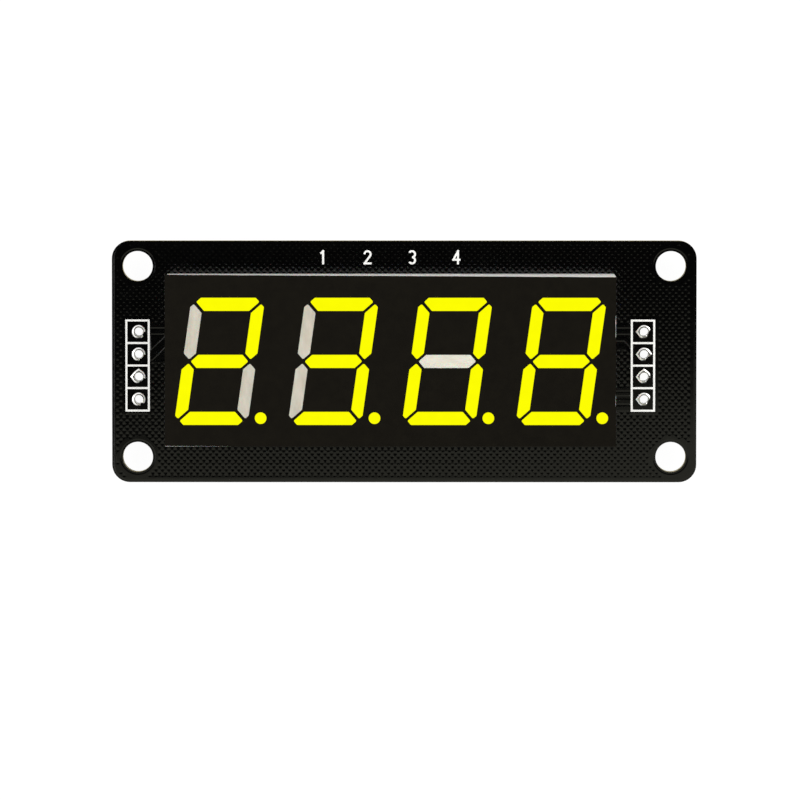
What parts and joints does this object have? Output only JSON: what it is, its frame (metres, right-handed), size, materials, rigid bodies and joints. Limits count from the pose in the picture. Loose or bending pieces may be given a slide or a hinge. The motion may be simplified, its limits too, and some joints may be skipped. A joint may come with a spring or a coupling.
{
  "type": "four-digit seven-segment clock display",
  "caption": "Row of yellow seven-segment LED digits with decimal points under a black face, on a black board with corner holes and a header footprint at each end.",
  "frame": {"origin": "centre of the four mounting holes, on the board's rear face", "axes": "+X along the row of digits to the right as they are read, +Y towards the tops of the digits, +Z out of the display's face; millimetres in the source, metres here"},
  "size_m": [0.0658, 0.0272, 0.0121],
  "materials": {
    "black_board": "black solder mask on glass-epoxy laminate, satin",
    "white_ink": "printed legend, matt",
    "tin": "tinned copper, bright",
    "solder": "solder, satin",
    "white_shell": "white moulded reflector, satin",
    "black_film": "black film, matt",
    "laminate": "bare glass-epoxy laminate",
    "potting": "cast epoxy, milky",
    "led_die": "semiconductor die",
    "lit_resin": "milky resin, lit yellow from behind",
    "unlit_resin": "milky resin, unlit",
    "chip_epoxy": "moulded black epoxy, matt",
    "capacitor_ceramic": "brown fired ceramic",
    "resistor_coat": "black glazed top on ceramic"
  },
  "bodies": {
    "root": {"circuit_board": "black_board", "front_legend": "white_ink", "left_header_pads": "tin", "right_header_pads": "tin", "display_pin_pads": "tin", "display_shell": "white_shell", "face_film": "black_film", "display_substrate": "laminate", "potting_resin": "potting", "led_dies": "led_die", "display_pins": "tin", "display_solder_joints": "solder", "digit1_segment_a": "lit_resin", "digit1_segment_b": "lit_resin", "digit1_segment_c": "unlit_resin", "digit1_segment_d": "lit_resin", "digit1_segment_e": "lit_resin", "digit1_segment_f": "unlit_resin", "digit1_segment_g": "lit_resin", "digit2_segment_a": "lit_resin", "digit2_segment_b": "lit_resin", "digit2_segment_c": "lit_resin", "digit2_segment_d": "lit_resin", "digit2_segment_e": "unlit_resin", "digit2_segment_f": "unlit_resin", "digit2_segment_g": "lit_resin", "digit3_segment_a": "lit_resin", "digit3_segment_b": "lit_resin", "digit3_segment_c": "lit_resin", "digit3_segment_d": "lit_resin", "digit3_segment_e": "lit_resin", "digit3_segment_f": "lit_resin", "digit3_segment_g": "unlit_resin", "digit4_segment_a": "lit_resin", "digit4_segment_b": "lit_resin", "digit4_segment_c": "lit_resin", "digit4_segment_d": "lit_resin", "digit4_segment_e": "lit_resin", "digit4_segment_f": "lit_resin", "digit4_segment_g": "lit_resin", "digit1_point": "lit_resin", "digit2_point": "lit_resin", "digit3_point": "lit_resin", "digit4_point": "lit_resin", "driver_chip": "chip_epoxy", "driver_chip_leads": "tin", "driver_chip_pads": "tin", "driver_chip_solder": "solder", "ceramic_capacitors": "capacitor_ceramic", "capacitor_terminals": "tin", "pull_up_resistors": "resistor_coat", "resistor_terminals": "tin", "small_part_pads": "tin", "small_part_solder": "solder"}
  },
  "joints": []
}
